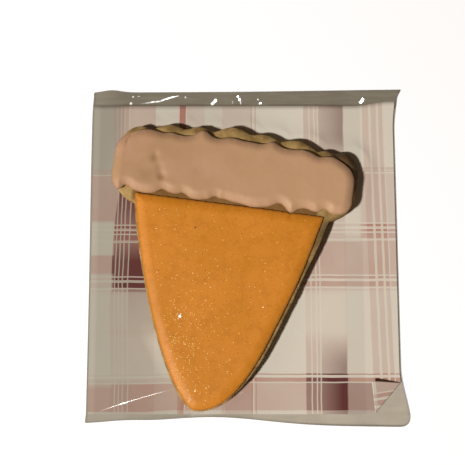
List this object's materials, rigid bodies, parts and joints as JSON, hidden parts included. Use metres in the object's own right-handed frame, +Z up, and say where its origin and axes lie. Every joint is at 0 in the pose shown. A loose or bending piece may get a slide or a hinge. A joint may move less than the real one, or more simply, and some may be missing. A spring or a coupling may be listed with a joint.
{
  "type": "pumpkin spice cookie",
  "caption": "Slice-shaped iced sugar cookie with pumpkin-coloured and crust-coloured icing, lying on plaid card in a flat clear film bag.",
  "frame": {"origin": "centre of the bag's outline, on the surface that it lies on", "axes": "+Z up from the bag's back face, +Y towards the bag's header and the crust end of the cookie, +X to the right seen from above"},
  "size_m": [0.128, 0.1371, 0.0103],
  "materials": {
    "clear_film": "thin clear bag film, glossy, lightly crinkled",
    "plaid_card": "printed plaid card, satin",
    "baked_biscuit": "baked sugar cookie, fine dry crumb, matte",
    "pumpkin_icing": "set royal icing, satin, with fine sugar glitter and specks of spice",
    "crust_icing": "set thick royal icing, satin, softly ridged"
  },
  "bodies": {
    "root": {"bag": "clear_film", "card": "plaid_card", "biscuit": "baked_biscuit", "pumpkin_icing": "pumpkin_icing", "crust_icing": "crust_icing"}
  },
  "joints": []
}
